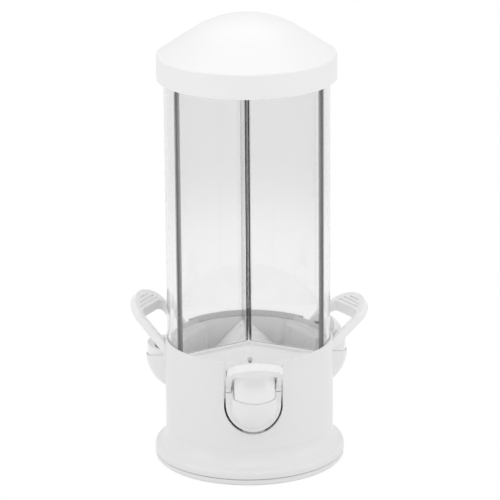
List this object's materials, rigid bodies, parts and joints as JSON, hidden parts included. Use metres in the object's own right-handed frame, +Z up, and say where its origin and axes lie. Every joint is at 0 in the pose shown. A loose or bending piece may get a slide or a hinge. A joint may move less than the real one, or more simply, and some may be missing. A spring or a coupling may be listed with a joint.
{
  "type": "candy dispenser",
  "caption": "Countertop candy dispenser on a turntable, with clear wedge canisters under a domed lid and spring-lever outlets with sinking gates",
  "frame": {"origin": "on the turning axis, at the underside of the foot where it stands on the table", "axes": "+Z up; the front outlet points along -Y; the other outlets are turned 120 degrees from it"},
  "size_m": [0.1752, 0.1701, 0.3293],
  "materials": {
    "base": "smooth injection-moulded white plastic",
    "lid": "smooth injection-moulded white plastic",
    "deck": "smooth moulded white plastic",
    "outlet": "smooth moulded white plastic",
    "gate": "smooth moulded white plastic",
    "lever": "smooth moulded white plastic with a grooved pad",
    "clear": "clear moulded plastic, polished",
    "steel": "bright steel",
    "cage": "plain moulded plastic",
    "rubber": "matt rubber"
  },
  "bodies": {
    "stand": {"foot_pad": "rubber", "turntable_ring": "base", "pivot_bolt": "steel", "pivot_washer": "steel", "pivot_nut": "steel"},
    "bearing": {"roller_cage": "cage", "rollers": "steel"},
    "base": {"base_plate": "base", "base_shell": "base", "chute_deck": "deck", "tie_screws": "steel", "valley_screws": "steel", "outlet_screws": "steel", "canister_right": "clear", "canister_left": "clear", "outlet_front": "outlet", "axle_front": "steel", "lever_spring_front": "steel", "outlet_right": "outlet", "axle_right": "steel", "lever_spring_right": "steel", "outlet_left": "outlet", "axle_left": "steel", "lever_spring_left": "steel"},
    "lid": {"lid": "lid"},
    "gate_front": {"gate_front": "gate"},
    "lever_front": {"lever_front": "lever"},
    "gate_right": {"gate_right": "gate"},
    "lever_right": {"lever_right": "lever"},
    "gate_left": {"gate_left": "gate"},
    "lever_left": {"lever_left": "lever"}
  },
  "joints": [
    {"name": "turntable_spin", "type": "hinge", "parent": "stand", "child": "base", "pos_m": [0, 0, 0.006], "axis": [0, 0, 1], "continuous": true},
    {"name": "bearing_spin", "type": "hinge", "parent": "stand", "child": "bearing", "pos_m": [0, 0, 0.006], "axis": [0, 0, 1], "continuous": true},
    {"name": "lid_lift", "type": "slide", "parent": "base", "child": "lid", "axis": [0, 0, 1], "range_m": [0, 0.06]},
    {"name": "lever_front_press", "type": "hinge", "parent": "base", "child": "lever_front", "pos_m": [0, -0.056, 0.0715], "axis": [1, 0, 0], "range_deg": [-14.5, 31.5], "stiffness_Nm_per_rad": 0.15, "deforming": ["lever_spring_front"]},
    {"name": "gate_front_turn", "type": "hinge", "parent": "base", "child": "gate_front", "pos_m": [0, -0.056, 0.0715], "axis": [1, 0, 0], "range_deg": [0, 70]},
    {"name": "lever_right_press", "type": "hinge", "parent": "base", "child": "lever_right", "pos_m": [0.0485, 0.028, 0.0715], "axis": [-0.5, 0.866, 0], "range_deg": [-12.5, 33.5], "stiffness_Nm_per_rad": 0.15, "deforming": ["lever_spring_right"]},
    {"name": "gate_right_turn", "type": "hinge", "parent": "base", "child": "gate_right", "pos_m": [0.0485, 0.028, 0.0715], "axis": [-0.5, 0.866, 0], "range_deg": [0, 70]},
    {"name": "lever_left_press", "type": "hinge", "parent": "base", "child": "lever_left", "pos_m": [-0.0485, 0.028, 0.0715], "axis": [-0.5, -0.866, 0], "range_deg": [-1.5, 44.5], "stiffness_Nm_per_rad": 0.15, "deforming": ["lever_spring_left"]},
    {"name": "gate_left_turn", "type": "hinge", "parent": "base", "child": "gate_left", "pos_m": [-0.0485, 0.028, 0.0715], "axis": [-0.5, -0.866, 0], "range_deg": [-46, 24]}
  ],
  "couplings": [
    {"joint": "bearing_spin", "follows": "turntable_spin", "ratio": 0.5}
  ]
}
